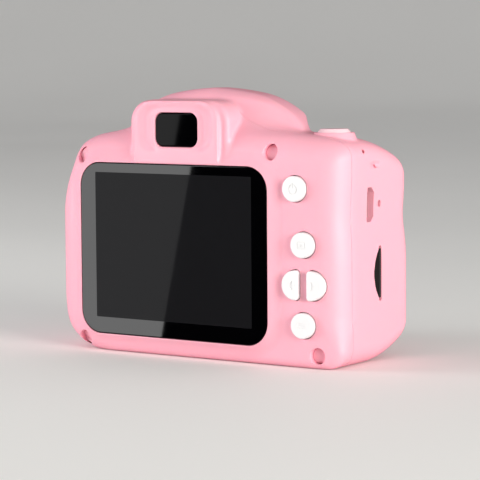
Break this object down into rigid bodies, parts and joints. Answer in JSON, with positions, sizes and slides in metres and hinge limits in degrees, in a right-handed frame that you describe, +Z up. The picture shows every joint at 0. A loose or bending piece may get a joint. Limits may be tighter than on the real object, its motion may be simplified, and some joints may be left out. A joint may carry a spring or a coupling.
{
  "type": "toy digital camera",
  "caption": "Compact toy digital camera with a rounded two-part case, rear screen, viewfinder hump, round lens barrel, press buttons, and charging and card sockets.",
  "frame": {"origin": "middle of the bounding box's base, on the surface that the camera stands on", "axes": "+X towards the user's right as the screen is looked at, +Y along the lens's view, +Z up"},
  "size_m": [0.08, 0.045, 0.0616],
  "materials": {
    "pink_plastic": "satin moulded pink plastic",
    "white_buttons": "satin white plastic",
    "shutter_plastic": "satin pale pink plastic",
    "screen_glass": "polished black-backed acrylic window",
    "lens_cover_glass": "polished black-backed acrylic with a clear centre",
    "white_trim": "gloss white plastic",
    "flash_lens": "ribbed clear plastic",
    "screw_steel": "zinc-plated steel",
    "foam": "black foam tape",
    "lcd_glass": "dark display glass",
    "white_frame": "white moulded light guide frame",
    "orange_film": "amber polyimide film",
    "circuit_board": "green solder mask",
    "chip_epoxy": "black epoxy",
    "plated_steel": "plated steel",
    "ivory_connector": "ivory nylon",
    "tinned_wire": "tinned wire",
    "yellow_wire": "yellow insulation",
    "led_phosphor": "yellow phosphor under clear resin",
    "black_plastic": "matt black plastic",
    "optical_glass": "coated glass",
    "battery_foil": "laminated foil pouch",
    "red_wire": "red insulation",
    "black_wire": "black insulation",
    "speaker_can": "painted steel basket and film cone"
  },
  "bodies": {
    "camera_body": {"rear_shell": "pink_plastic", "front_shell": "pink_plastic", "case_screws": "screw_steel", "screw_plugs": "pink_plastic", "screen_window": "screen_glass", "screen_adhesive": "foam", "viewfinder_window": "screen_glass", "lens_barrel": "pink_plastic", "lens_trim_ring": "white_trim", "lens_window": "lens_cover_glass", "flash_window": "flash_lens", "lcd_gasket": "foam", "lcd_panel": "lcd_glass", "lcd_backlight": "white_frame", "lcd_flex": "orange_film", "key_board": "circuit_board", "key_switches": "plated_steel", "key_flex": "orange_film", "key_board_screws": "screw_steel", "main_board": "circuit_board", "board_connectors": "ivory_connector", "processor_chip": "chip_epoxy", "memory_chip": "chip_epoxy", "crystal": "plated_steel", "usb_socket": "plated_steel", "card_socket": "plated_steel", "memory_card": "black_plastic", "reset_switch": "plated_steel", "microphone": "plated_steel", "microphone_leads": "tinned_wire", "shutter_board": "circuit_board", "shutter_switch": "plated_steel", "shutter_leads": "yellow_wire", "flash_board": "circuit_board", "flash_led": "led_phosphor", "flash_leads": "yellow_wire", "camera_module": "circuit_board", "camera_lens": "black_plastic", "lens_element": "optical_glass", "camera_flex": "orange_film", "battery": "battery_foil", "battery_pad": "foam", "battery_connector": "ivory_connector", "battery_lead_red": "red_wire", "battery_lead_black": "black_wire", "speaker": "speaker_can", "speaker_leads": "red_wire", "board_screws": "screw_steel", "camera_screws": "screw_steel"},
    "power_button": {"power_button": "white_buttons"},
    "mode_button": {"mode_button": "white_buttons"},
    "left_button": {"left_button": "white_buttons"},
    "right_button": {"right_button": "white_buttons"},
    "menu_button": {"menu_button": "white_buttons"},
    "shutter_button": {"shutter_button": "shutter_plastic"}
  },
  "joints": [
    {"name": "power_press", "type": "slide", "parent": "camera_body", "child": "power_button", "axis": [0, 1, 0], "range_m": [0, 0.0005], "stiffness_N_per_m": 1500, "springref_m": -0.0002},
    {"name": "mode_press", "type": "slide", "parent": "camera_body", "child": "mode_button", "axis": [0, 1, 0], "range_m": [0, 0.0005], "stiffness_N_per_m": 1500, "springref_m": -0.0002},
    {"name": "left_press", "type": "slide", "parent": "camera_body", "child": "left_button", "axis": [0, 1, 0], "range_m": [0, 0.0005], "stiffness_N_per_m": 1500, "springref_m": -0.0002},
    {"name": "right_press", "type": "slide", "parent": "camera_body", "child": "right_button", "axis": [0, 1, 0], "range_m": [0, 0.0005], "stiffness_N_per_m": 1500, "springref_m": -0.0002},
    {"name": "menu_press", "type": "slide", "parent": "camera_body", "child": "menu_button", "axis": [0, 1, 0], "range_m": [0, 0.0005], "stiffness_N_per_m": 1500, "springref_m": -0.0002},
    {"name": "shutter_press", "type": "slide", "parent": "camera_body", "child": "shutter_button", "axis": [0, 0, -1], "range_m": [0, 0.001], "stiffness_N_per_m": 800, "springref_m": -0.0003}
  ]
}
